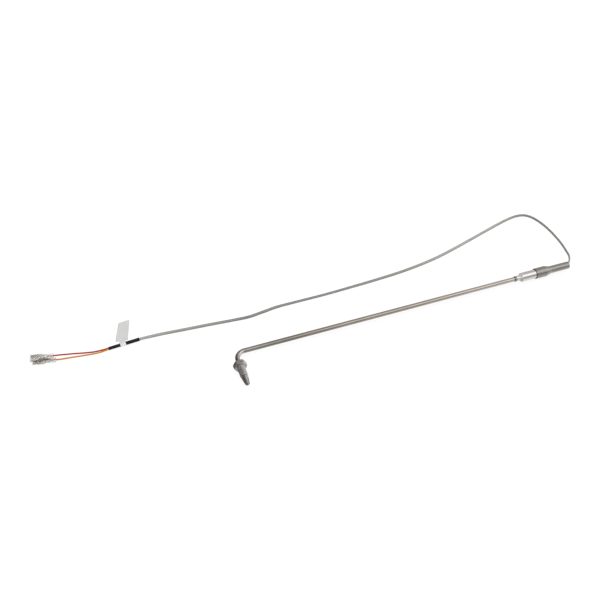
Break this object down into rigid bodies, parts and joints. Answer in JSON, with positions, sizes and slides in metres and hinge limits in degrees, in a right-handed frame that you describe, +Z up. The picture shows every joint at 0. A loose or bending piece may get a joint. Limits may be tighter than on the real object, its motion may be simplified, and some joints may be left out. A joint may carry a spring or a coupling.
{
  "type": "thermocouple",
  "caption": "Mineral-insulated thermocouple probe with a bent tip, captive union screw, transition sleeve, flat braided cable and hooded push-on terminals.",
  "frame": {"origin": "middle of the footprint of the rigid probe (sheath, union screw, ferrule and sleeve), on the surface that it lies on", "axes": "+X along the straight rod from the bent tip to the cable sleeve, -Y along the short leg towards the slotted nose, +Z up"},
  "size_m": [0.727, 0.1718, 0.0441],
  "materials": {
    "sheath_steel": "drawn stainless sheath, lightly oxidised, satin",
    "bright_steel": "bright turned stainless",
    "satin_steel": "satin swaged stainless",
    "plated_steel": "machined stainless, fine turning marks",
    "terminal_tin": "tin-plated sheet",
    "alloy_wire": "drawn thermocouple alloy",
    "oxide_powder": "matt compacted oxide",
    "cement": "matt cast cement",
    "cable_braid": "tight fine braid over glass-fibre insulation",
    "black_polyolefin": "shrunk polyolefin, soft sheen",
    "label_film": "semi-matt polyester film",
    "red_cover": "glass-fibre sleeving, varnished",
    "amber_cover": "glass-fibre sleeving, varnished",
    "clear_plastic": "soft clear PVC"
  },
  "bodies": {
    "probe": {"probe_sheath": "sheath_steel", "mineral_insulation": "oxide_powder", "conductor_positive": "alloy_wire", "conductor_negative": "alloy_wire", "hot_junction": "alloy_wire", "tip_cap": "sheath_steel", "slotted_nose": "plated_steel", "weld_ring": "satin_steel", "transition_ferrule": "bright_steel", "cement_potting": "cement", "splice_spacer": "oxide_powder", "splice_positive": "terminal_tin", "splice_negative": "terminal_tin", "lead_core_positive": "alloy_wire", "lead_core_negative": "alloy_wire", "cable_sleeve": "satin_steel", "cable_grommet": "black_polyolefin", "braided_cable": "cable_braid", "heat_shrink": "black_polyolefin", "cable_label": "label_film", "red_wire": "red_cover", "amber_wire": "amber_cover", "red_receptacle": "terminal_tin", "amber_receptacle": "terminal_tin", "red_core_strands": "alloy_wire", "amber_core_strands": "alloy_wire"},
    "union_screw": {"union_screw": "plated_steel"},
    "red_hood": {"red_hood": "clear_plastic"},
    "amber_hood": {"amber_hood": "clear_plastic"}
  },
  "joints": [
    {"name": "union_screw_spin", "type": "hinge", "parent": "probe", "child": "union_screw", "pos_m": [-0.22992, 0.00115, 0.0075], "axis": [0, -1, 0], "continuous": true},
    {"name": "red_hood_slide", "type": "slide", "parent": "probe", "child": "red_hood", "axis": [0.9848, -0.1736, 0], "range_m": [0, 0.008]},
    {"name": "amber_hood_slide", "type": "slide", "parent": "probe", "child": "amber_hood", "axis": [0.9681, -0.2504, 0], "range_m": [0, 0.008]}
  ]
}
